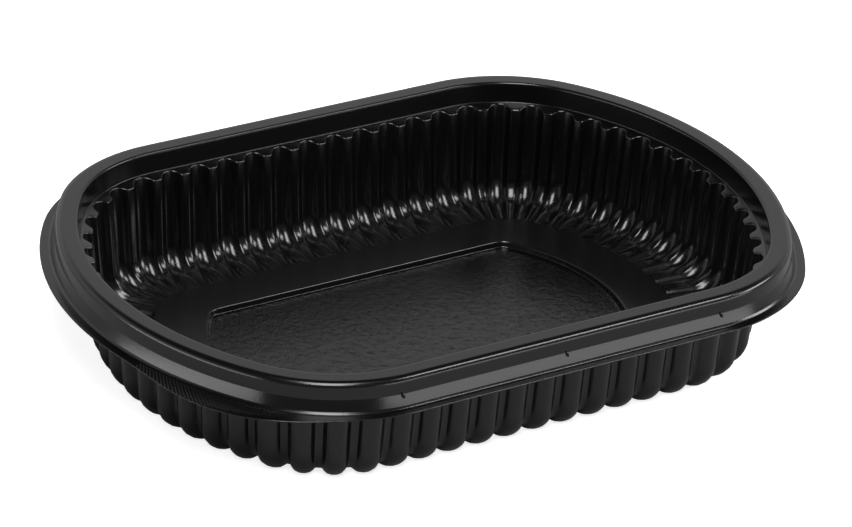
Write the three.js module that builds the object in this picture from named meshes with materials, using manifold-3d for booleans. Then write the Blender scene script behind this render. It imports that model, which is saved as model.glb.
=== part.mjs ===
// Thermoformed meal tray: one black plastic shell with a fluted wall, a stepped
// rim, a flange with a grip tab at one corner, and a sunken panel in its floor.
// Millimetres, +Z up. The tray stands on z = 0, centred on the z axis, long side on x.

import * as THREE from 'three';
import { LoftGeometry } from 'three/addons/geometries/LoftGeometry.js';
import { mergeVertices } from 'three/addons/utils/BufferGeometryUtils.js';
import Module from 'manifold-3d';

// Overall
const trayHeight = 41;
const wall = 0.6;

// Rim top, a flat land whose outer edge has long end arcs and tighter corners
const landLength = 229.8;
const landWidth = 168.4;
const endRadius = 109.7;
const cornerRadius = 49.6;
const landBand = 6.6;
const landEdge = 0.6;

// Outside of the rim: an upright wall, a flared shoulder and a flat flange
const rimWallDrop = 5.2;
const rimWallDraft = 0.5;
const shoulderDrop = 3.6;
const shoulderRun = 1.4;
const flangeDrop = 9.3;
const flangeReach = 5.1;

// Neck inside the rim, down to the ledge where the flutes begin
const neckDepth = 6.8;
const neckDraft = 0.9;
const ledgeBand = 1.1;

// Fluted wall
const flutePitch = 10;
const cornerPitch = 11.2;
const fluteDepth = 3.5;
const ridgeShare = 0.36;
const fluteRound = 0.1;
const wallDraft = 2;
const fluteBend = 10;
const ridgeBend = 8;
const bendSteps = 3;

// Floor: a flat ring, and a panel sunk below it
const ringInset = 31;
const ringLap = 1;
const panelLength = 107.6;
const panelWidth = 76.2;
const panelEndRadius = 59.2;
const panelDrop = 2;
const panelRun = 1;
const panelEndSteps = 10;

// Grip tab: the flange swells outwards at one corner
const tabReach = 5.4;
const tabHalfLength = 36;
const tabFromEnd = 54;

// Fineness of the rim's curves
const rimEndSteps = 6;
const rimCornerSteps = 8;

const halfPi = Math.PI / 2;
const trayMaterial = new THREE.MeshStandardMaterial({
  color: 0x17181a,
  roughness: 0.35,
  metalness: 0,
});

// Sizes of one quarter of an outline that lies a given distance outside the land's outer edge
function quarterOutline(offset) {
  const halfWidth = landWidth / 2 + offset;
  const end = endRadius + offset;
  const corner = cornerRadius + offset;
  const endCentreX = landLength / 2 - endRadius;
  const cornerCentreY = halfWidth - corner;
  const cornerCentreX = endCentreX + Math.sqrt((end - corner) ** 2 - cornerCentreY ** 2);
  const endAngle = Math.atan2(cornerCentreY, cornerCentreX - endCentreX);
  const endArc = end * endAngle;
  const cornerArc = corner * (halfPi - endAngle);
  return {
    halfWidth, end, corner, endCentreX, cornerCentreX, cornerCentreY, endAngle, endArc, cornerArc,
    length: endArc + cornerArc + cornerCentreX,
  };
}

// Point and outward direction at arc length s from the end's middle, in the quarter +x +y
function quarterPoint(outline, s) {
  if (s > outline.endArc + outline.cornerArc) {
    return {
      point: new THREE.Vector2(outline.length - s, outline.halfWidth),
      normal: new THREE.Vector2(0, 1),
    };
  }
  const onEnd = s <= outline.endArc;
  const angle = onEnd ? s / outline.end : outline.endAngle + (s - outline.endArc) / outline.corner;
  const normal = new THREE.Vector2(Math.cos(angle), Math.sin(angle));
  const radius = onEnd ? outline.end : outline.corner;
  const centreX = onEnd ? outline.endCentreX : outline.cornerCentreX;
  const centreY = onEnd ? 0 : outline.cornerCentreY;
  const point = new THREE.Vector2(centreX, centreY).addScaledVector(normal, radius);
  return { point, normal };
}

// Station on the whole outline: quarters 1 and 3 run backwards, so the walk stays anticlockwise
function station(outline, quarter, s) {
  const backwards = quarter % 2 === 1;
  const { point, normal } = quarterPoint(outline, backwards ? outline.length - s : s);
  const signX = quarter === 1 || quarter === 2 ? -1 : 1;
  const signY = quarter >= 2 ? -1 : 1;
  const sign = new THREE.Vector2(signX, signY);
  return { point: point.multiply(sign), normal: normal.multiply(sign) };
}

// Point at a distance from the outline along its outward direction, at height z
function offsetPoint(place, distance, z) {
  return new THREE.Vector3(
    place.point.x + place.normal.x * distance,
    place.point.y + place.normal.y * distance,
    z,
  );
}

// Stations round a smooth outline: along each end arc and each corner arc
function rimStations(outline) {
  const stops = [];
  for (let step = 0; step < rimEndSteps; step++) {
    stops.push((outline.endArc * step) / rimEndSteps);
  }
  for (let step = 0; step <= rimCornerSteps; step++) {
    stops.push(outline.endArc + (outline.cornerArc * step) / rimCornerSteps);
  }
  const backwards = stops.slice(1).reverse().map((s) => outline.length - s);
  return [0, 1, 2, 3].flatMap((quarter) => {
    const walk = quarter % 2 === 1 ? backwards : stops;
    return walk.map((s) => station(outline, quarter, s));
  });
}

// Section through the tub

const ledgeTop = trayHeight - neckDepth;
const panelTop = wall;
const ringTop = panelTop + panelDrop;
const crestOffset = -landBand - neckDraft - ledgeBand;
const tubOutline = quarterOutline(crestOffset);

// Path of the wall's inner face from the ledge to the floor ring, as offset and height
function wallPath(topOffset, bend, floorZ) {
  const path = [[topOffset, ledgeTop]];
  for (let step = 0; step <= bendSteps; step++) {
    const angle = (halfPi * step) / bendSteps;
    const inward = wallDraft + bend * (1 - Math.cos(angle));
    path.push([topOffset - inward, floorZ + bend * (1 - Math.sin(angle))]);
  }
  path.push([-ringInset, ringTop], [-ringInset - ringLap, ringTop]);
  return path;
}

// The same path moved through the wall's thickness to the outer face
function outerPath(path) {
  return path.map(([offset, z], row) => {
    const turn = THREE.MathUtils.clamp((row - 1) / bendSteps, 0, 1) * halfPi;
    const outward = row > bendSteps + 1 ? 0 : Math.cos(turn);
    const down = row === 0 || row > bendSteps + 1 ? 1 : Math.sin(turn);
    return [offset + wall * outward, z - wall * down];
  });
}

const flutePath = wallPath(crestOffset, fluteBend, panelTop);
const ridgePath = wallPath(crestOffset - fluteDepth, ridgeBend, ringTop);
const outerFlutePath = outerPath(flutePath);
const outerRidgePath = outerPath(ridgePath);

// Flutes along one quarter: whole ones at the pitch on the end and the side, the rest share the corner
function fluteStretches() {
  const onEnd = Math.max(0, Math.floor(tubOutline.endArc / flutePitch - 0.5)) + 0.5;
  const onSide = Math.max(0, Math.round(tubOutline.cornerCentreX / flutePitch - 0.5)) + 0.5;
  const cornerLength = tubOutline.length - (onEnd + onSide) * flutePitch;
  const onCorner = Math.max(1, Math.round(cornerLength / cornerPitch));
  return { onEnd, onCorner, onSide, cornerPitchUsed: cornerLength / onCorner };
}

const stretches = fluteStretches();
const flutesPerQuarter = stretches.onEnd + stretches.onCorner + stretches.onSide;

// Arc length of flute number n, counted from the end's middle
function fluteArc(n) {
  if (n <= stretches.onEnd) {
    return n * flutePitch;
  }
  const inCorner = Math.min(n - stretches.onEnd, stretches.onCorner);
  const past = Math.max(0, n - stretches.onEnd - stretches.onCorner);
  return stretches.onEnd * flutePitch + inCorner * stretches.cornerPitchUsed + past * flutePitch;
}

// Columns across one flute: its two edges, two shoulders and the crest, as [phase, depth share]
function fluteColumns() {
  const edge = (1 - ridgeShare) / 2;
  return [[-edge, 0], [-edge + fluteRound, 0.85], [0, 1], [edge - fluteRound, 0.85], [edge, 0]];
}

// Every column of the tub, anticlockwise from just before the middle of the end on +x
function tubColumns() {
  const columns = [];
  const fluteCount = Math.round(4 * flutesPerQuarter);
  for (let flute = 0; flute < fluteCount; flute++) {
    for (const [phase, share] of fluteColumns()) {
      const n = (flute + phase + fluteCount) % fluteCount;
      const quarter = Math.floor(n / flutesPerQuarter);
      const within = n - quarter * flutesPerQuarter;
      const backwards = quarter % 2 === 1;
      const s = backwards
        ? tubOutline.length - fluteArc(flutesPerQuarter - within)
        : fluteArc(within);
      columns.push({ place: station(tubOutline, quarter, s), share });
    }
  }
  return columns;
}

// Point of the tub between the ridge's path and the flute's path
function tubPoint(column, ridge, flute) {
  const offset = THREE.MathUtils.lerp(ridge[0], flute[0], column.share);
  const z = THREE.MathUtils.lerp(ridge[1], flute[1], column.share);
  return offsetPoint(column.place, offset - crestOffset, z);
}

// Section of the tub's shell at one column: over the ledge, down the outer face, back up the inner face
function tubSection(column) {
  const ledgeEdge = crestOffset + ledgeBand + wall / 2;
  const inner = flutePath.map((flute, row) => tubPoint(column, ridgePath[row], flute));
  const outer = outerFlutePath.map((flute, row) => tubPoint(column, outerRidgePath[row], flute));
  const ledge = [ledgeTop, ledgeTop - wall].map((z) => tubPoint(column, [ledgeEdge, z], [ledgeEdge, z]));
  return [...ledge, ...outer, ...inner.reverse()];
}

// The tub's fluted wall, a band whose section changes between flute and ridge as it goes round
function tubGeometry() {
  const sections = tubColumns().map(tubSection);
  sections.push(sections[0].map((point) => point.clone()));
  return new LoftGeometry(sections);
}

// The floor, a flat slab that fills the band
function floorGeometry() {
  const ring = rimStations(quarterOutline(-ringInset - ringLap / 2));
  const levels = [ringTop - wall, ringTop];
  return new LoftGeometry(
    levels.map((z) => ring.map((place) => offsetPoint(place, 0, z))),
    { capStart: true, capEnd: true },
  );
}

// Rim section, anticlockwise seen along the walk: underside first, then back over the top
function rimSection(reach) {
  const top = trayHeight;
  const neckFoot = ledgeTop - wall / 2;
  const wallFoot = top - rimWallDrop;
  const shoulderFoot = wallFoot - shoulderDrop;
  const flangeTop = top - flangeDrop;
  const upperFace = [
    [reach, flangeTop],
    [rimWallDraft + shoulderRun + wall, flangeTop],
    [rimWallDraft + shoulderRun, shoulderFoot],
    [rimWallDraft + wall / 2, wallFoot - wall],
    [rimWallDraft, wallFoot],
    [0, top - landEdge],
    [-landEdge / 3, top - landEdge / 3],
    [-landEdge, top],
    [-landBand + landEdge, top],
    [-landBand + landEdge / 3, top - landEdge / 3],
    [-landBand, top - landEdge],
    [-landBand - neckDraft, neckFoot],
  ];
  const underFace = [
    [-landBand - neckDraft + wall, neckFoot],
    [-landBand + wall, top - wall - landEdge],
    [-landBand + wall + landEdge / 2, top - wall],
    [-wall - landEdge / 2, top - wall],
    [-wall, top - wall - landEdge],
    [rimWallDraft - wall, wallFoot - wall / 2],
    [rimWallDraft + shoulderRun - wall, shoulderFoot - wall / 2],
    [rimWallDraft + shoulderRun, flangeTop - wall],
    [reach, flangeTop - wall],
  ];
  return [...upperFace, ...underFace].reverse();
}

// Swell of the flange, full at the tab's middle and nothing at its two ends
function tabSwell(place, tabCentre) {
  const distance = place.point.distanceTo(tabCentre);
  const fade = Math.min(distance / tabHalfLength, 1) * halfPi;
  return tabReach * Math.cos(fade) ** 2;
}

// The rim, a closed band whose section travels once round the outline
function rimGeometry() {
  const outline = quarterOutline(0);
  const tabCentre = station(outline, 2, tabFromEnd).point;
  const sections = rimStations(outline).map((place) => {
    const reach = flangeReach + tabSwell(place, tabCentre);
    return rimSection(reach).map(([offset, z]) => offsetPoint(place, offset, z));
  });
  sections.push(sections[0].map((point) => point.clone()));
  return new LoftGeometry(sections);
}

// Outline of the floor panel, moved inwards by inset, with bowed ends
function panelRing(inset, z) {
  const halfLength = panelLength / 2;
  const halfWidth = panelWidth / 2;
  const radius = panelEndRadius - inset;
  const centreX = halfLength - Math.sqrt(panelEndRadius ** 2 - halfWidth ** 2);
  const reach = Math.asin((halfWidth - inset) / radius);
  const ring = [];
  for (const side of [1, -1]) {
    for (let step = 0; step <= panelEndSteps; step++) {
      const angle = -reach + (2 * reach * step) / panelEndSteps;
      const x = side * (centreX + radius * Math.cos(angle));
      ring.push(new THREE.Vector3(x, side * radius * Math.sin(angle), z));
    }
  }
  return ring;
}

// Solid between two levels whose side follows the panel's sloping step
function panelSolid(low, high, inset) {
  const slope = panelRun / panelDrop;
  const ringAt = (z) => panelRing(inset - slope * (z - ringTop), z);
  return new LoftGeometry([ringAt(low), ringAt(high)], { capStart: true, capEnd: true });
}

// Joining

const wasm = await Module();
wasm.setup();

// Closed geometry as a solid that can be joined and cut
function solid(geometry) {
  const bare = new THREE.BufferGeometry();
  bare.setAttribute('position', geometry.attributes.position);
  bare.setIndex(geometry.index);
  const merged = mergeVertices(bare);
  return new wasm.Manifold(new wasm.Mesh({
    numProp: 3,
    vertProperties: new Float32Array(merged.attributes.position.array),
    triVerts: new Uint32Array(merged.index.array),
  }));
}

// Solid as a geometry with flat facets
function geometryOf(body) {
  const { vertProperties, triVerts } = body.getMesh();
  const geometry = new THREE.BufferGeometry();
  geometry.setAttribute('position', new THREE.Float32BufferAttribute(vertProperties, 3));
  geometry.setIndex(Array.from(triVerts));
  geometry.computeVertexNormals();
  return geometry;
}

// The tub and the rim are one moulding, with the panel pressed down out of the floor
function trayGeometry() {
  const pan = panelSolid(0, ringTop - wall / 2, -wall);
  const sink = panelSolid(panelTop, ringTop + wall, 0);
  const bands = solid(tubGeometry()).add(solid(rimGeometry()));
  const body = bands.add(solid(floorGeometry())).add(solid(pan)).subtract(solid(sink));
  return geometryOf(body);
}

const tray = new THREE.Group();
const shell = new THREE.Mesh(trayGeometry(), trayMaterial);
shell.name = 'meal_tray';
tray.add(shell);

export default tray;
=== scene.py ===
"""Black thermoformed meal tray with a fluted wall and a stepped rim.

The tray is one moulding. Its whole surface is drawn as one sheet that starts at the
flange's edge, climbs the shoulder and the rim, drops down the neck to the ledge, runs
down the fluted wall and ends in the sunken floor panel. The sheet then gets its wall.
"""

from __future__ import annotations

import logging
import math
from dataclasses import dataclass, field
from enum import Enum

import bmesh
import bpy
from mathutils import Matrix, Vector

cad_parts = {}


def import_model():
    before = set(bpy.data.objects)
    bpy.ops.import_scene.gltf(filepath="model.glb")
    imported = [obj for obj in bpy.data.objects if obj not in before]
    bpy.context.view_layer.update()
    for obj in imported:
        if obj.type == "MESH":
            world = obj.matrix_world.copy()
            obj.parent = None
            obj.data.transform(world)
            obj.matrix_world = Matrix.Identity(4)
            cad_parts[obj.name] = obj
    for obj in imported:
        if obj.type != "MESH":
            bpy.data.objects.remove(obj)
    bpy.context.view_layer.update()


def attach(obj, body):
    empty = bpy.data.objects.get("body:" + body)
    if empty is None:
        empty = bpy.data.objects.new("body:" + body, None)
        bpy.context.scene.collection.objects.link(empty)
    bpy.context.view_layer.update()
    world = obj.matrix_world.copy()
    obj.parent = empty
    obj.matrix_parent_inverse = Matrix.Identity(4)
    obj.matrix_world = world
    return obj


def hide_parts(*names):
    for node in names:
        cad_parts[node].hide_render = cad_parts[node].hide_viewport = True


LOG = logging.getLogger("meal_tray")
MM = 0.001
PANEL_LAYER = "panel"


class Band(Enum):
    """The two kinds of strip that make up the fluted wall."""

    RIDGE = "ridge"
    FLUTE = "flute"


class Shading(Enum):
    """How a finished mesh's faces are shaded."""

    SMOOTH = "smooth"
    FLAT = "flat"


@dataclass(frozen=True)
class Station:
    """A place on an outline, with its outward direction."""

    point: Vector
    normal: Vector

    def at(self, distance: float, z: float) -> Vector:
        """Point at a distance outside the outline, at height z, in millimetres."""
        spot = self.point + self.normal * distance
        return Vector((spot.x, spot.y, z))


@dataclass(frozen=True)
class Outline:
    """Oblong outline, the same on both sides of x and of y.

    Straight sides join tight corner arcs, and those join long end arcs. Millimetres.
    """

    half_length: float
    half_width: float
    end_radius: float
    corner_radius: float

    def grown(self, distance: float) -> Outline:
        """The parallel outline that lies a distance outside this one."""
        return Outline(
            self.half_length + distance,
            self.half_width + distance,
            self.end_radius + distance,
            self.corner_radius + distance,
        )

    @property
    def end_centre_x(self) -> float:
        """Centre of the end arc on +x."""
        return self.half_length - self.end_radius

    @property
    def corner_centre(self) -> Vector:
        """Centre of the corner arc in the quarter +x +y."""
        y = self.half_width - self.corner_radius
        x = math.sqrt((self.end_radius - self.corner_radius) ** 2 - y**2)
        return Vector((self.end_centre_x + x, y))

    @property
    def end_angle(self) -> float:
        """Angle at which the end arc gives way to the corner arc."""
        corner = self.corner_centre
        return math.atan2(corner.y, corner.x - self.end_centre_x)

    @property
    def end_arc(self) -> float:
        """Length of the end arc from the x axis to the corner."""
        return self.end_radius * self.end_angle

    @property
    def corner_arc(self) -> float:
        """Length of a corner arc."""
        return self.corner_radius * (math.pi / 2 - self.end_angle)

    @property
    def quarter(self) -> float:
        """Length of a quarter of the outline."""
        return self.end_arc + self.corner_arc + self.corner_centre.x

    def in_quarter(self, arc: float) -> Station:
        """Station in the quarter +x +y.

        Args:
            arc: length from the x axis, up to a quarter of the outline.

        Returns:
            The station there.
        """
        if arc > self.end_arc + self.corner_arc:
            return Station(Vector((self.quarter - arc, self.half_width)), Vector((0, 1)))
        if arc <= self.end_arc:
            centre, radius, angle = Vector((self.end_centre_x, 0)), self.end_radius, arc / self.end_radius
        else:
            centre, radius = self.corner_centre, self.corner_radius
            angle = self.end_angle + (arc - self.end_arc) / self.corner_radius
        normal = Vector((math.cos(angle), math.sin(angle)))
        return Station(centre + normal * radius, normal)

    def station(self, arc: float) -> Station:
        """Station at any length round the outline.

        Args:
            arc: length anticlockwise from the middle of the end on +x.

        Returns:
            The station there.
        """
        index, rest = divmod(arc / self.quarter, 1)
        index = int(index) % 4
        along = rest * self.quarter
        place = self.in_quarter(self.quarter - along if index % 2 else along)
        sign = Vector((-1 if index in (1, 2) else 1, -1 if index >= 2 else 1))
        return Station(place.point * sign, place.normal * sign)


@dataclass(frozen=True)
class Row:
    """One row of the sheet: offset from the land's outer edge and height, on a ridge and in a flute."""

    ridge: tuple[float, float]
    flute: tuple[float, float]

    def between(self, share: float) -> tuple[float, float]:
        """Offset and height at a share of the way from the ridge to the flute."""
        offset = self.ridge[0] + (self.flute[0] - self.ridge[0]) * share
        height = self.ridge[1] + (self.flute[1] - self.ridge[1]) * share
        return offset, height


def rounded(
    corners: list[tuple[float, float]], radii: list[float], steps: int
) -> list[tuple[float, float]]:
    """Draws a bent line with rounded corners.

    Args:
        corners: the line's points, its two ends included.
        radii: a radius for each point between the ends, 0 for a sharp one.
        steps: facets in each rounded corner.

    Returns:
        The points of the line, corners replaced by arcs.
    """
    points = [corners[0]]
    for before, corner, after, radius in zip(corners, corners[1:], corners[2:], radii):
        if radius <= 0:
            points.append(corner)
            continue
        here = Vector(corner)
        back = (Vector(before) - here).normalized()
        ahead = (Vector(after) - here).normalized()
        half = math.acos(max(-1.0, min(1.0, back.dot(ahead)))) / 2
        centre = here + (back + ahead).normalized() * (radius / math.sin(half))
        start = here + back * (radius / math.tan(half)) - centre
        sweep = start.angle_signed(here + ahead * (radius / math.tan(half)) - centre)
        for step in range(steps + 1):
            turn = -sweep * step / steps
            spoke = Matrix.Rotation(turn, 2) @ start
            points.append(tuple(centre + spoke))
    points.append(corners[-1])
    return points


def extruded(
    mesh: bmesh.types.BMesh, edges: list[bmesh.types.BMEdge]
) -> tuple[list[bmesh.types.BMVert], list[bmesh.types.BMEdge]]:
    """Extrudes a closed ring of edges once.

    Args:
        mesh: the mesh that holds the ring.
        edges: the ring's edges.

    Returns:
        The new ring's corners and edges.
    """
    drawn = bmesh.ops.extrude_edge_only(mesh, edges=edges)["geom"]
    corners = [item for item in drawn if isinstance(item, bmesh.types.BMVert)]
    sides = [item for item in drawn if isinstance(item, bmesh.types.BMEdge) and item.is_boundary]
    return corners, sides


@dataclass(frozen=True)
class Flutes:
    """Round flutes side by side along the wall, with flat ridges between them. Millimetres."""

    pitch: float = 10.0
    depth: float = 3.0
    ridge_share: float = 0.36
    on_end: float = 5.5
    on_corner: float = 4.0
    on_side: float = 5.5
    edge_round: float = 1.0
    fullness: float = 2.1
    arc_columns: int = 7
    edge_columns: int = 2

    @property
    def per_quarter(self) -> float:
        """Flutes in a quarter of the outline."""
        return self.on_end + self.on_corner + self.on_side

    def arc(self, outline: Outline, number: float) -> float:
        """Length along a quarter of the outline at flute number.

        Args:
            outline: the outline of the flutes' crests.
            number: flutes counted from the end's middle, with a fraction.

        Returns:
            Length in millimetres from the end's middle.
        """
        whole = (self.on_end + self.on_side) * self.pitch
        corner_pitch = (outline.quarter - whole) / self.on_corner
        in_corner = min(max(number - self.on_end, 0.0), self.on_corner)
        past = max(number - self.on_end - self.on_corner, 0.0)
        return (min(number, self.on_end) + past) * self.pitch + in_corner * corner_pitch

    def section(self) -> list[tuple[float, float]]:
        """Columns across one flute, from one ridge's middle to the next.

        Returns:
            Phase from the flute's middle, in pitches, and share of the full depth.
        """
        half = (1 - self.ridge_share) / 2
        turn = self.edge_round / self.pitch
        columns = [(-0.5, 0.0), (-half - turn, 0.0)]
        for step in range(1, self.edge_columns + 1):
            angle = math.pi / 2 * step / (self.edge_columns + 1)
            drop = self.edge_round * (1 - math.cos(angle)) / self.depth
            columns.append((-half - turn + turn * math.sin(angle), drop))
        for step in range(1, self.arc_columns):
            angle = math.pi * (step / self.arc_columns - 0.5)
            across = half * math.copysign(abs(math.sin(angle)) ** (2 / self.fullness), angle)
            columns.append((across, math.cos(angle) ** (2 / self.fullness)))
        mirrored = [(-phase, share) for phase, share in reversed(columns[1:]) if phase < -half + 1e-6]
        return columns + mirrored


@dataclass(frozen=True)
class Tab:
    """Grip tab: the flange swells outwards at one corner, and its edge is finely toothed."""

    reach: float = 5.4
    half_length: float = 36.0
    from_end: float = 54.0
    tooth: float = 0.22
    toothed_share: float = 0.125
    knurl_pitch: float = 1.3
    knurl_height: float = 0.14
    knurl_foot: float = 0.46
    knurl_tip: float = 0.12
    knurl_margin: float = 0.9

    def swell(self, place: Station, centre: Vector) -> float:
        """How far the flange stands out past its usual reach at a station."""
        distance = (place.point - centre).length
        return self.reach * math.cos(min(distance / self.half_length, 1) * math.pi / 2) ** 2


@dataclass(frozen=True)
class Nub:
    """Small moulding mark in the crease over the shoulder, an ellipsoid. Millimetres and degrees."""

    size: tuple[float, float, float] = (0.5, 0.6, 0.95)
    lean: float = -14.0
    below_crease: float = 0.45
    outside_wall: float = 0.25
    segments: int = 16
    rings: int = 10
    places: tuple[float, ...] = (-57.8, -1.1, 54.3)


@dataclass
class TraySheet:
    """The tray's moulded surface, drawn row by row. Sizes are in millimetres."""

    height: float = 41.0
    wall: float = 0.5
    land: Outline = Outline(114.9, 84.2, 109.7, 49.6)
    land_band: float = 6.6
    land_edge: float = 1.7
    inner_edge: float = 0.6
    support: float = 0.45
    rim_wall_drop: float = 5.2
    rim_wall_draft: float = 0.5
    shoulder_drop: float = 3.6
    shoulder_run: float = 1.2
    crease_round: float = 0.3
    shoulder_rise: float = 0.2
    flange_drop: float = 9.3
    flange_root: float = 1.2
    root_slope: float = 0.55
    root_round: float = 0.4
    flange_reach: float = 5.1
    flange_edge: float = 0.35
    neck_depth: float = 6.8
    neck_draft: float = 0.9
    neck_foot: float = 0.7
    ledge_band: float = 0.8
    ledge_fall: float = 0.8
    lip: float = 0.45
    wall_draft: float = 2.0
    flute_bend: float = 10.0
    ridge_bend: float = 8.0
    ridge_foot: float = 2.0
    foot_run: float = 1.4
    foot_turn: float = 0.6
    ring_edge: float = 0.35
    ring_top: float = 3.2
    ring_inset: float = 31.0
    panel: Outline = Outline(67.7, 38.1, 59.2, 3.0)
    panel_drop: float = 2.0
    panel_run: float = 0.5
    panel_rounds: tuple[float, float] = (0.7, 0.35)
    panel_margins: tuple[float, float] = (0.8, 1.2)
    flutes: Flutes = field(default_factory=Flutes)
    tab: Tab = field(default_factory=Tab)
    nub: Nub = field(default_factory=Nub)
    wall_rows: int = 2
    bend_rows: int = 8
    step_rows: int = 3
    panel_columns: int = 160

    @property
    def ledge_top(self) -> float:
        """Height of the ledge under the neck."""
        return self.height - self.neck_depth

    @property
    def panel_top(self) -> float:
        """Height of the sunken panel's upper face."""
        return self.ring_top - self.panel_drop

    @property
    def crest(self) -> float:
        """Offset of the flutes' crests from the land's outer edge, at the ledge."""
        return -self.land_band - self.neck_draft - self.ledge_band

    def rim_rows(self) -> list[Row]:
        """Rows from the flange's edge over the rim and down the neck to the ledge.

        Unrounded points beside a rounded corner hold the flat faces' shading even.
        """
        top = self.height
        wall_foot = top - self.rim_wall_drop
        shoulder_foot = wall_foot - self.shoulder_drop
        shoulder = self.rim_wall_draft + self.shoulder_run
        slope = self.rim_wall_draft / self.rim_wall_drop
        neck_slope = self.neck_draft / self.neck_depth
        neck_high = self.inner_edge + self.support
        neck_foot = -self.land_band - self.neck_draft
        line = rounded(
            [
                (self.flange_reach, top - self.flange_drop - self.flange_edge),
                (self.flange_reach, top - self.flange_drop),
                (self.flange_reach - 2 * self.flange_edge, top - self.flange_drop),
                (shoulder + self.flange_root, top - self.flange_drop),
                (shoulder + self.root_slope, top - self.flange_drop),
                (shoulder, shoulder_foot + self.shoulder_rise),
                (self.rim_wall_draft, wall_foot),
                (self.rim_wall_draft - self.support * slope, wall_foot + self.support),
                ((self.land_edge + self.support) * slope, top - self.land_edge - self.support),
                (0.0, top),
                (-self.land_edge - self.support, top),
                (-self.land_band + self.inner_edge + self.support, top),
                (-self.land_band, top),
                (-self.land_band - neck_high * neck_slope, top - neck_high),
                (neck_foot + self.neck_foot * neck_slope, self.ledge_top + self.neck_foot),
                (neck_foot, self.ledge_top),
                (self.crest, self.ledge_top),
            ],
            [
                self.flange_edge,
                0.0,
                0.0,
                self.root_round,
                self.crease_round,
                self.crease_round,
                0.0,
                0.0,
                self.land_edge,
                0.0,
                0.0,
                self.inner_edge,
                0.0,
                0.0,
                self.crease_round,
            ],
            self.step_rows,
        )
        return [Row(point, point) for point in line[:-1]]

    def wall_line(self, band: Band) -> list[tuple[float, float]]:
        """Line from the ledge's lip down the wall, round the bend and on to the floor ring.

        Args:
            band: whether the line runs along a ridge or a flute. Both end in a foot with
                a steep step up to the ring, and the flute's foot is the lower one.

        Returns:
            Offset and height of each row.
        """
        if band is Band.FLUTE:
            top, bend, foot = self.crest, self.flute_bend, self.wall
            ledge = self.ledge_top
        else:
            top, bend, foot = self.crest - self.flutes.depth, self.ridge_bend, self.ridge_foot
            ledge = self.ledge_top - self.ledge_fall
        line = []
        for angle in (0.0, math.pi / 4, math.pi / 2):
            drop = self.lip * (1 - math.cos(angle))
            line.append((top + self.lip * (1 - math.sin(angle)), ledge - drop))
        for step in range(1, self.wall_rows):
            share = step / self.wall_rows
            drop = self.lip + (ledge - self.lip - foot - bend) * share
            line.append((top - self.wall_draft * share, ledge - drop))
        for step in range(self.bend_rows + 1):
            angle = math.pi / 2 * step / self.bend_rows
            inward = self.wall_draft + bend * (1 - math.cos(angle))
            line.append((top - inward, foot + bend * (1 - math.sin(angle))))
        corners = [
            line[-1],
            (-self.ring_inset + self.foot_run, foot),
            (-self.ring_inset, self.ring_top),
            (-self.ring_inset - 3 * self.ring_edge, self.ring_top),
        ]
        return line + rounded(corners, [self.foot_turn, self.ring_edge], self.step_rows)[1:]

    def tub_rows(self) -> list[Row]:
        """Rows from the ledge's lip down the fluted wall to the floor ring."""
        return [Row(a, b) for a, b in zip(self.wall_line(Band.RIDGE), self.wall_line(Band.FLUTE))]

    def columns(self) -> list[tuple[Station, float]]:
        """Every column round the tray, as a station on the crests' outline and its share of depth."""
        outline = self.land.grown(self.crest)
        count = round(4 * self.flutes.per_quarter)
        found = []
        for flute in range(count):
            for phase, share in self.flutes.section():
                number = (flute + phase) % count
                quarter, within = divmod(number, self.flutes.per_quarter)
                if int(quarter) % 2:
                    along = outline.quarter - self.flutes.arc(outline, self.flutes.per_quarter - within)
                else:
                    along = self.flutes.arc(outline, within)
                found.append((outline.station(quarter * outline.quarter + along), share))
        return found

    def swell_at(self, place: Station, column: int, row: int, centre: Vector) -> float:
        """Extra reach of the flange's outer rows at the grip tab.

        Args:
            place: the column's station on the crests' outline.
            column: number of the column.
            row: number of the row, 0 at the flange's edge.
            centre: the tab's middle on the crests' outline.

        Returns:
            Millimetres to add to the row's offset.
        """
        if row > self.step_rows + 2:
            return 0.0
        swell = self.tab.swell(place, centre)
        toothed = row < self.step_rows and column % 2 == 1 and swell > self.tab.reach * self.tab.toothed_share
        return swell - (self.tab.tooth if toothed else 0.0)

    def draw_bands(self, mesh: bmesh.types.BMesh) -> list[bmesh.types.BMEdge]:
        """Draws the flange, rim, neck, ledge and fluted wall, by extruding a ring row by row.

        Args:
            mesh: the mesh to draw in.

        Returns:
            The edges of the last ring, at the floor ring's outer edge.
        """
        columns = self.columns()
        rows = self.rim_rows() + self.tub_rows()
        outline = self.land.grown(self.crest)
        centre = outline.station(2 * outline.quarter + self.tab.from_end).point
        number = mesh.verts.layers.int.new("column")
        start = bmesh.ops.create_circle(mesh, cap_ends=False, radius=1.0, segments=len(columns))["verts"]
        for index, vert in enumerate(start):
            vert[number] = index
        ring = list(start)
        edges = list({edge for vert in start for edge in vert.link_edges})
        for level, row in enumerate(rows):
            if level:
                ring, edges = extruded(mesh, edges)
            for vert in ring:
                place, share = columns[vert[number]]
                offset, height = row.between(share)
                extra = self.swell_at(place, vert[number], level, centre)
                vert.co = place.at(offset - self.crest + extra, height)
        return edges

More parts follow.
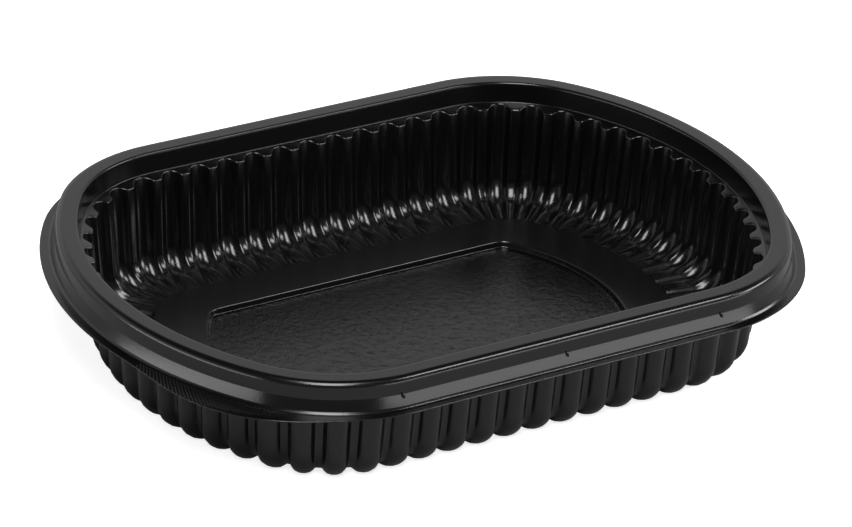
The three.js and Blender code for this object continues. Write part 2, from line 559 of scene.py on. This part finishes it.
    def draw_floor(self, mesh: bmesh.types.BMesh, rim: list[bmesh.types.BMEdge]) -> None:
        """Fills the floor ring and presses the panel down inside it.

        Args:
            mesh: the mesh to draw in.
            rim: edges of the fluted wall's last ring.
        """
        line = rounded(
            [
                (self.panel_margins[0], self.ring_top),
                (0.0, self.ring_top),
                (-self.panel_run, self.panel_top),
                (-self.panel_run - self.panel_margins[1], self.panel_top),
            ],
            list(self.panel_rounds),
            self.step_rows,
        )
        number = mesh.verts.layers.int["column"]
        sunken = mesh.verts.layers.float.new(PANEL_LAYER)
        count = self.panel_columns
        places = [self.panel.station(4 * self.panel.quarter * index / count) for index in range(count)]
        start = bmesh.ops.create_circle(mesh, cap_ends=False, radius=1.0, segments=count)["verts"]
        for index, vert in enumerate(start):
            vert[number] = index
        ring = list(start)
        edges = list({edge for vert in start for edge in vert.link_edges})
        outer = list(edges)
        for level, (offset, height) in enumerate(line):
            if level:
                ring, edges = extruded(mesh, edges)
            for vert in ring:
                vert.co = places[vert[number]].at(offset, height)
                vert[sunken] = 1.0 if height < self.ring_top - self.panel_drop / 2 else 0.0
        bmesh.ops.triangle_fill(mesh, use_beauty=True, use_dissolve=False, edges=rim + outer)
        bmesh.ops.triangle_fill(mesh, use_beauty=True, use_dissolve=False, edges=edges)

    def build(self) -> bpy.types.Object:
        """Builds the whole tray with its wall.

        Returns:
            The tray's object, in metres, at the origin.
        """
        mesh = bmesh.new()
        rim = self.draw_bands(mesh)
        self.draw_floor(mesh, rim)
        bmesh.ops.remove_doubles(mesh, verts=mesh.verts[:], dist=1e-4)
        bmesh.ops.recalc_face_normals(mesh, faces=mesh.faces[:])
        floor = min(mesh.faces, key=lambda face: face.calc_center_median().to_2d().length)
        if floor.normal.z < 0:
            bmesh.ops.reverse_faces(mesh, faces=mesh.faces[:])
        bmesh.ops.scale(mesh, vec=(MM, MM, MM), verts=mesh.verts[:])
        piece = add_object("meal_tray_shell", mesh)
        thicken = piece.modifiers.new("wall", "SOLIDIFY")
        thicken.thickness = self.wall * MM
        thicken.offset = -1.0
        thicken.use_even_offset = False
        return piece

    def knurl(self) -> bpy.types.Object:
        """Builds the small diamonds on the grip tab's upper face.

        Returns:
            The diamonds' object, in metres, at the origin.
        """
        mesh = bmesh.new()
        pitch = self.tab.knurl_pitch
        middle = 2 * self.land.quarter + self.tab.from_end
        centre = self.land.station(middle).point
        inner = self.rim_wall_draft + self.shoulder_run + pitch
        level = self.height - self.flange_drop + self.tab.knurl_height / 2
        half_count = round(self.tab.half_length / pitch * 2)
        for column in range(-half_count, half_count):
            place = self.land.station(middle + column * pitch / 2)
            outer = self.flange_reach + self.tab.swell(place, centre) - self.tab.knurl_margin
            if outer < self.flange_reach:
                continue
            offset = inner + (pitch / 2 if column % 2 else 0.0)
            while offset < outer:
                turn = Matrix.Rotation(math.atan2(place.normal.y, place.normal.x), 4, "Z")
                bmesh.ops.create_cone(
                    mesh,
                    cap_ends=True,
                    segments=4,
                    radius1=pitch * self.tab.knurl_foot,
                    radius2=pitch * self.tab.knurl_tip,
                    depth=self.tab.knurl_height,
                    matrix=Matrix.Translation(place.at(offset, level)) @ turn,
                )
                offset += pitch
        bmesh.ops.scale(mesh, vec=(MM, MM, MM), verts=mesh.verts[:])
        return add_object("tab_knurl", mesh, Shading.FLAT)

    def nubs(self) -> bpy.types.Object:
        """Builds the small moulding marks on the side with the tab.

        Returns:
            The marks' object, in metres, at the origin.
        """
        mesh = bmesh.new()
        nub = self.nub
        depth = -self.land.half_width - self.rim_wall_draft - nub.outside_wall
        level = self.height - self.rim_wall_drop - nub.below_crease
        lean = Matrix.Rotation(math.radians(nub.lean), 4, "Y")
        shape = Matrix.Diagonal((*nub.size, 1.0))
        for x in nub.places:
            bmesh.ops.create_uvsphere(
                mesh,
                u_segments=nub.segments,
                v_segments=nub.rings,
                radius=1.0,
                matrix=Matrix.Translation((x, depth, level)) @ lean @ shape,
            )
        bmesh.ops.scale(mesh, vec=(MM, MM, MM), verts=mesh.verts[:])
        return add_object("rim_nubs", mesh)


def add_object(
    name: str, mesh: bmesh.types.BMesh, shading: Shading = Shading.SMOOTH
) -> bpy.types.Object:
    """Makes a finished mesh into an object at the origin.

    Args:
        name: the object's name.
        mesh: the mesh, which is freed.
        shading: how its faces are shaded.

    Returns:
        The new object.
    """
    data = bpy.data.meshes.new(name)
    mesh.to_mesh(data)
    mesh.free()
    if shading is Shading.SMOOTH:
        data.shade_smooth()
    piece = bpy.data.objects.new(name, data)
    bpy.context.scene.collection.objects.link(piece)
    return piece


def linear(code: str) -> tuple[float, float, float, float]:
    """Turns an sRGB hex colour such as "1a1a1c" into a linear colour with alpha 1."""
    channels = [int(code[at : at + 2], 16) / 255 for at in (0, 2, 4)]
    turned = [c / 12.92 if c <= 0.04045 else ((c + 0.055) / 1.055) ** 2.4 for c in channels]
    return (turned[0], turned[1], turned[2], 1.0)


def add_node(
    tree: bpy.types.NodeTree,
    kind: str,
    settings: dict[str, object] | None = None,
    links: dict[str, bpy.types.NodeSocket] | None = None,
) -> bpy.types.Node:
    """Adds a node to a tree with its settings and links.

    Args:
        tree: the node tree.
        kind: the node's type name.
        settings: values by attribute or input name.
        links: output sockets by the input name that they feed.

    Returns:
        The new node.
    """
    node = tree.nodes.new(kind)
    for name, value in (settings or {}).items():
        if name in node.inputs:
            node.inputs[name].default_value = value
        else:
            setattr(node, name, value)
    for name, socket in (links or {}).items():
        tree.links.new(socket, node.inputs[name])
    return node


@dataclass(frozen=True)
class BlackPolypropylene:
    """Thermoformed black polypropylene sheet, semi-gloss.

    The mould leaves a fine grain everywhere and wrinkles the sunken panel, so the panel
    breaks its reflection up. The floor ring is pressed flat and looks more matt than the
    drawn wall, whose bends keep short, bright highlights.
    """

    name: str = "tray_black_polypropylene"
    colour: str = "070708"
    roughness: float = 0.2
    ring_roughness: float = 0.28
    ior: float = 1.49
    grain_mm: float = 0.6
    grain_height_mm: float = 0.014
    ripple_mm: float = 2.4
    ripple_height_mm: float = 0.2
    ripple_elsewhere: float = 0.05
    ring_top_mm: float = 3.2
    ring_band_mm: float = 0.1

    def make(self) -> bpy.types.Material:
        """Builds the material from Object coordinates."""
        material = bpy.data.materials.new(self.name)
        material.use_nodes = True
        tree = material.node_tree
        tree.nodes.clear()
        place = add_node(tree, "ShaderNodeTexCoord").outputs["Object"]
        grain = add_node(
            tree,
            "ShaderNodeTexNoise",
            {"Scale": 1 / (self.grain_mm * MM), "Detail": 2.0, "Roughness": 0.6},
            {"Vector": place},
        )
        ripple = add_node(
            tree,
            "ShaderNodeTexNoise",
            {"Scale": 1 / (self.ripple_mm * MM), "Detail": 3.0, "Roughness": 0.55, "Distortion": 0.6},
            {"Vector": place},
        )
        height = add_node(tree, "ShaderNodeSeparateXYZ", links={"Vector": place}).outputs["Z"]
        panel = add_node(tree, "ShaderNodeAttribute", {"attribute_name": PANEL_LAYER})
        wrinkled = add_node(
            tree,
            "ShaderNodeMapRange",
            {"To Min": self.ripple_elsewhere, "To Max": 1.0},
            {"Value": panel.outputs["Fac"]},
        )
        on_ring = add_node(tree, "ShaderNodeMath", {"operation": "COMPARE"})
        tree.links.new(height, on_ring.inputs[0])
        on_ring.inputs[1].default_value = self.ring_top_mm * MM
        on_ring.inputs[2].default_value = self.ring_band_mm * MM
        roughness = add_node(
            tree,
            "ShaderNodeMapRange",
            {"To Min": self.roughness, "To Max": self.ring_roughness},
            {"Value": on_ring.outputs["Value"]},
        )
        coarse = add_node(
            tree,
            "ShaderNodeBump",
            {"Distance": self.ripple_height_mm * MM},
            {"Height": ripple.outputs["Fac"], "Strength": wrinkled.outputs["Result"]},
        )
        fine = add_node(
            tree,
            "ShaderNodeBump",
            {"Strength": 1.0, "Distance": self.grain_height_mm * MM},
            {"Height": grain.outputs["Fac"], "Normal": coarse.outputs["Normal"]},
        )
        shader = add_node(
            tree,
            "ShaderNodeBsdfPrincipled",
            {"Base Color": linear(self.colour), "IOR": self.ior},
            {"Normal": fine.outputs["Normal"], "Roughness": roughness.outputs["Result"]},
        )
        add_node(tree, "ShaderNodeOutputMaterial", links={"Surface": shader.outputs["BSDF"]})
        return material


@dataclass(frozen=True)
class Softbox:
    """A soft rectangular lamp, seen from the tray in a direction. Degrees; azimuth 0 is +y, 90 is +x."""

    name: str
    azimuth: float
    elevation: float
    wide: float
    tall: float
    radiance: float


@dataclass(frozen=True)
class Studio:
    """Pale floor, soft lamps and a camera at the tray's left front. Millimetres and degrees."""

    azimuth: float = -32.21
    elevation: float = 27.73
    roll: float = 2.89
    distance: float = 1408.6
    target: tuple[float, float, float] = (-15.13, -25.80, 41.0)
    lens: float = 195.1
    sensor: float = 36.0
    floor_half: float = 4.0
    floor_colour: str = "f4f4f4"
    floor_in_gloss: str = "a8a8a8"
    floor_glow: float = 0.8
    horizon: float = 0.7
    sky: float = 0.04
    fade_from: float = 30.0
    fade_to: float = 42.0
    front_share: float = 0.2
    front_edge: float = -0.3
    behind_edge: float = 0.2
    lamp_distance: float = 1500.0
    lamps: tuple[Softbox, ...] = (
        Softbox("front_high", 211.0, 60.0, 20.0, 40.0, 12.0),
        Softbox("right", 115.0, 24.0, 24.0, 14.0, 10.0),
        Softbox("front_right", 133.0, 50.0, 20.0, 12.0, 12.0),
        Softbox("front_low", 150.0, 6.0, 50.0, 12.0, 3.3),
        Softbox("left_low", 278.0, 6.0, 50.0, 12.0, 3.8),
    )

    def camera(self) -> None:
        """Makes the camera."""
        data = bpy.data.cameras.new("camera")
        data.lens = self.lens
        data.sensor_width = self.sensor
        data.clip_end = 100.0
        camera = bpy.data.objects.new("camera", data)
        bpy.context.scene.collection.objects.link(camera)
        turn, lift = math.radians(self.azimuth), math.radians(self.elevation)
        back = Vector(
            (math.sin(turn) * math.cos(lift), -math.cos(turn) * math.cos(lift), math.sin(lift))
        )
        right = Vector((math.cos(turn), math.sin(turn), 0))
        up = back.cross(right)
        tilt = math.radians(self.roll)
        frame = Matrix(
            (
                right * math.cos(tilt) + up * math.sin(tilt),
                up * math.cos(tilt) - right * math.sin(tilt),
                back,
            )
        ).transposed()
        place = (Vector(self.target) + back * self.distance) * MM
        camera.matrix_world = Matrix.Translation(place) @ frame.to_4x4()
        bpy.context.scene.camera = camera

    def floor(self) -> None:
        """Makes the pale floor, bright to the camera and greyer in the tray's gloss."""
        mesh = bmesh.new()
        bmesh.ops.create_grid(mesh, x_segments=1, y_segments=1, size=self.floor_half)
        floor = add_object("floor", mesh)
        material = bpy.data.materials.new("floor_paper")
        material.use_nodes = True
        tree = material.node_tree
        tree.nodes.clear()
        grey = add_node(tree, "ShaderNodeBsdfDiffuse", {"Color": linear(self.floor_in_gloss)})
        paper = add_node(tree, "ShaderNodeBsdfDiffuse", {"Color": linear(self.floor_colour)})
        glow = add_node(tree, "ShaderNodeEmission", {"Color": (1, 1, 1, 1), "Strength": self.floor_glow})
        bright = add_node(tree, "ShaderNodeAddShader")
        tree.links.new(paper.outputs["BSDF"], bright.inputs[0])
        tree.links.new(glow.outputs["Emission"], bright.inputs[1])
        path = add_node(tree, "ShaderNodeLightPath")
        mix = add_node(tree, "ShaderNodeMixShader")
        tree.links.new(path.outputs["Is Camera Ray"], mix.inputs["Fac"])
        tree.links.new(grey.outputs["BSDF"], mix.inputs[1])
        tree.links.new(bright.outputs["Shader"], mix.inputs[2])
        add_node(tree, "ShaderNodeOutputMaterial", links={"Surface": mix.outputs["Shader"]})
        floor.data.materials.append(material)

    def world(self) -> None:
        """Makes a surround that is pale low down behind, dark overhead, and white to the camera."""
        world = bpy.data.worlds.new("studio")
        bpy.context.scene.world = world
        world.use_nodes = True
        tree = world.node_tree
        tree.nodes.clear()
        way = add_node(tree, "ShaderNodeTexCoord").outputs["Generated"]
        parts = add_node(tree, "ShaderNodeSeparateXYZ", links={"Vector": way})
        behind = add_node(
            tree,
            "ShaderNodeMapRange",
            {
                "From Min": self.front_edge,
                "From Max": self.behind_edge,
                "To Min": self.front_share,
            },
            {"Value": parts.outputs["Y"]},
        )
        fade = add_node(
            tree,
            "ShaderNodeMapRange",
            {
                "interpolation_type": "SMOOTHSTEP",
                "From Min": math.sin(math.radians(self.fade_from)),
                "From Max": math.sin(math.radians(self.fade_to)),
                "To Min": self.horizon,
                "To Max": self.sky,
            },
            {"Value": parts.outputs["Z"]},
        )
        shaded = add_node(tree, "ShaderNodeMath", {"operation": "MULTIPLY"})
        tree.links.new(fade.outputs["Result"], shaded.inputs[0])
        tree.links.new(behind.outputs["Result"], shaded.inputs[1])
        camera = add_node(tree, "ShaderNodeLightPath").outputs["Is Camera Ray"]
        strength = add_node(tree, "ShaderNodeMath", {"operation": "MAXIMUM"})
        tree.links.new(shaded.outputs["Value"], strength.inputs[0])
        tree.links.new(camera, strength.inputs[1])
        sky = add_node(
            tree, "ShaderNodeBackground", {"Color": (1, 1, 1, 1)}, {"Strength": strength.outputs["Value"]}
        )
        add_node(tree, "ShaderNodeOutputWorld", links={"Surface": sky.outputs["Background"]})

    def lamp(self, box: Softbox) -> None:
        """Makes a soft rectangular lamp that looks at the tray.

        Args:
            box: the softbox as the tray sees it.
        """
        turn, lift = math.radians(box.azimuth), math.radians(box.elevation)
        way = Vector(
            (math.sin(turn) * math.cos(lift), math.cos(turn) * math.cos(lift), math.sin(lift))
        )
        data = bpy.data.lights.new(box.name, "AREA")
        data.shape = "RECTANGLE"
        reach = 2 * self.lamp_distance * MM
        data.size = reach * math.tan(math.radians(box.wide / 2))
        data.size_y = reach * math.tan(math.radians(box.tall / 2))
        data.energy = box.radiance * math.pi * data.size * data.size_y
        lamp = bpy.data.objects.new(box.name, data)
        bpy.context.scene.collection.objects.link(lamp)
        lamp.location = way * self.lamp_distance * MM
        lamp.rotation_euler = way.to_track_quat("Z", "Y").to_euler()

    def build(self) -> None:
        """Sets up the camera, the floor, the surround and the lamps."""
        bpy.context.scene.view_settings.view_transform = "Standard"
        self.camera()
        self.floor()
        self.world()
        for box in self.lamps:
            self.lamp(box)


def main() -> None:
    """Builds the tray's surface, its plastic and the studio around it."""
    logging.basicConfig(level=logging.INFO, format="%(message)s")
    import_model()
    Studio().build()
    plastic = BlackPolypropylene().make()
    sheet = TraySheet()
    for piece in (sheet.build(), sheet.knurl(), sheet.nubs()):
        piece.data.materials.append(plastic)
        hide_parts("meal_tray")
        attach(piece, "root")
        LOG.info("%s: %d faces", piece.name, len(piece.data.polygons))


if __name__ == "__main__":
    main()
